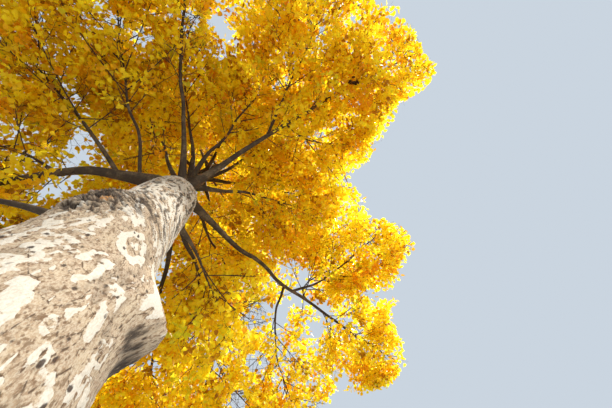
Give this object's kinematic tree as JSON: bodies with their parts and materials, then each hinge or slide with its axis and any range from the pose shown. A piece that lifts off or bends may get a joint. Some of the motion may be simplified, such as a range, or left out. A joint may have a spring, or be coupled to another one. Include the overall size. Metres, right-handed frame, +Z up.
{
  "type": "poplar tree",
  "caption": "Whole poplar in yellow autumn leaf: stout pale trunk with a flared foot and an old wound, a whorl of slender boughs, and a crown of separate leaf masses narrowing to the tip.",
  "frame": {"origin": "on the trunk's axis in the flat cut at ground level", "axes": "+Z up along the trunk; +X to the right and -Y towards the foot of the picture as the picture sees the crown"},
  "size_m": [5.6573, 6.4313, 10.315],
  "materials": {
    "pale_bark": "rough, pale cream-grey bark with whitish patches and dark marks",
    "dark_bark": "matt brown young bark",
    "yellow_leaves": "thin, translucent, golden yellow autumn leaves",
    "amber_leaves": "thin, translucent, orange-yellow autumn leaves"
  },
  "bodies": {
    "root": {"trunk": "pale_bark", "bough_west": "dark_bark", "bough_west_southwest": "dark_bark", "bough_southwest": "dark_bark", "bough_south_southwest": "dark_bark", "bough_south": "dark_bark", "bough_southeast": "dark_bark", "bough_south_southeast": "dark_bark", "bough_east_southeast": "dark_bark", "bough_northeast": "dark_bark", "bough_east_northeast": "dark_bark", "bough_north_northeast": "dark_bark", "bough_inner_northeast": "dark_bark", "bough_north_low": "dark_bark", "bough_north": "dark_bark", "bough_north_northwest": "dark_bark", "bough_northwest": "dark_bark", "bough_west_northwest": "dark_bark", "bough_low_west": "dark_bark", "bough_inner_southwest": "dark_bark", "bough_inner_southeast": "dark_bark", "bough_inner_east": "dark_bark", "mass_west": "yellow_leaves", "mass_west_southwest": "yellow_leaves", "mass_southwest": "amber_leaves", "mass_south_southwest": "yellow_leaves", "mass_south": "yellow_leaves", "mass_southeast": "amber_leaves", "mass_south_southeast": "yellow_leaves", "mass_east_southeast": "yellow_leaves", "mass_northeast": "amber_leaves", "mass_east_northeast": "yellow_leaves", "mass_north_northeast": "yellow_leaves", "mass_inner_northeast": "amber_leaves", "mass_north_low": "yellow_leaves", "mass_north": "yellow_leaves", "mass_north_northwest": "amber_leaves", "mass_northwest": "yellow_leaves", "mass_west_northwest": "yellow_leaves", "mass_low_west": "amber_leaves", "mass_inner_southwest": "yellow_leaves", "mass_inner_southeast": "yellow_leaves", "mass_inner_east": "amber_leaves", "mass_inner_south": "yellow_leaves", "mass_inner_east_southeast": "yellow_leaves", "mass_inner_north": "amber_leaves", "mass_inner_west": "yellow_leaves", "mass_upper_1": "yellow_leaves", "mass_upper_2": "amber_leaves", "mass_upper_3": "yellow_leaves", "mass_upper_4": "yellow_leaves", "mass_upper_5": "amber_leaves", "mass_high_1": "yellow_leaves", "mass_high_2": "yellow_leaves", "mass_high_3": "amber_leaves", "mass_high_4": "yellow_leaves", "mass_crest_1": "yellow_leaves", "mass_crest_2": "amber_leaves", "mass_top": "yellow_leaves"}
  },
  "joints": []
}
